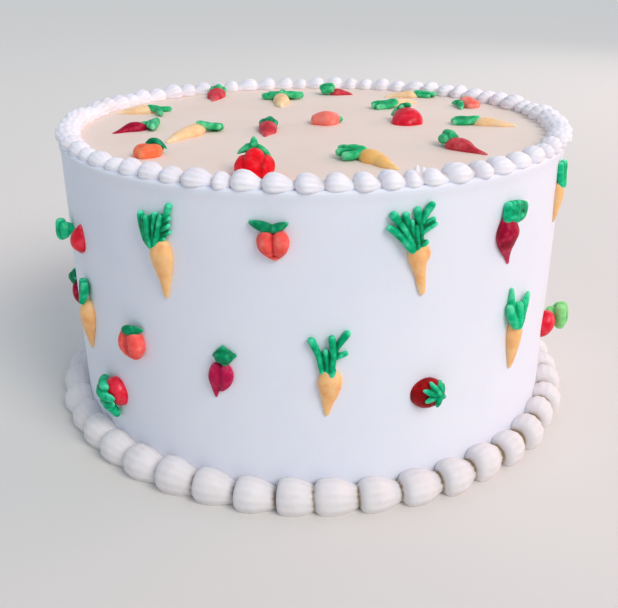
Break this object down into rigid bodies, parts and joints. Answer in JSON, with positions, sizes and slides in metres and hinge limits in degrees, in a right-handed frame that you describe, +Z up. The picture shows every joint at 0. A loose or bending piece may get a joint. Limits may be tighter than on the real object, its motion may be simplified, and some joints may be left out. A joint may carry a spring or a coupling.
{
  "type": "birthday cake",
  "caption": "Round birthday cake iced in white, with piped shell borders at foot and rim and small vegetables and fruit piped in coloured icing on its wall and top.",
  "frame": {"origin": "middle of the underside, on the surface that the cake stands on", "axes": "+Z up the cake's axis, -Y towards the front, +X to the right seen from the front"},
  "size_m": [0.2322, 0.2319, 0.127],
  "materials": {
    "white_icing": "smooth satin buttercream",
    "carrot_icing": "satin buttercream",
    "beet_icing": "satin buttercream",
    "tomato_icing": "satin buttercream",
    "peach_icing": "satin buttercream",
    "leaf_icing": "satin buttercream"
  },
  "bodies": {
    "root": {"cake": "white_icing", "foot_border": "white_icing", "rim_border": "white_icing", "carrot_01": "carrot_icing", "carrot_02": "carrot_icing", "carrot_03": "carrot_icing", "carrot_04": "carrot_icing", "carrot_05": "carrot_icing", "carrot_06": "carrot_icing", "carrot_07": "carrot_icing", "carrot_08": "carrot_icing", "carrot_09": "carrot_icing", "carrot_10": "carrot_icing", "carrot_11": "carrot_icing", "carrot_12": "carrot_icing", "carrot_13": "carrot_icing", "carrot_14": "carrot_icing", "carrot_15": "carrot_icing", "carrot_16": "carrot_icing", "carrot_17": "carrot_icing", "beet_01": "beet_icing", "beet_02": "beet_icing", "beet_03": "beet_icing", "beet_04": "beet_icing", "beet_05": "beet_icing", "beet_06": "beet_icing", "beet_07": "beet_icing", "beet_08": "beet_icing", "beet_09": "beet_icing", "beet_10": "beet_icing", "beet_11": "beet_icing", "beet_12": "beet_icing", "tomato_01": "tomato_icing", "tomato_02": "tomato_icing", "tomato_03": "tomato_icing", "tomato_04": "tomato_icing", "tomato_05": "tomato_icing", "tomato_06": "tomato_icing", "tomato_07": "tomato_icing", "tomato_08": "tomato_icing", "tomato_09": "tomato_icing", "peach_01": "peach_icing", "peach_02": "peach_icing", "peach_03": "peach_icing", "peach_04": "peach_icing", "peach_05": "peach_icing", "peach_06": "peach_icing", "peach_07": "peach_icing", "peach_08": "peach_icing", "peach_09": "peach_icing", "peach_10": "peach_icing"}
  },
  "joints": []
}
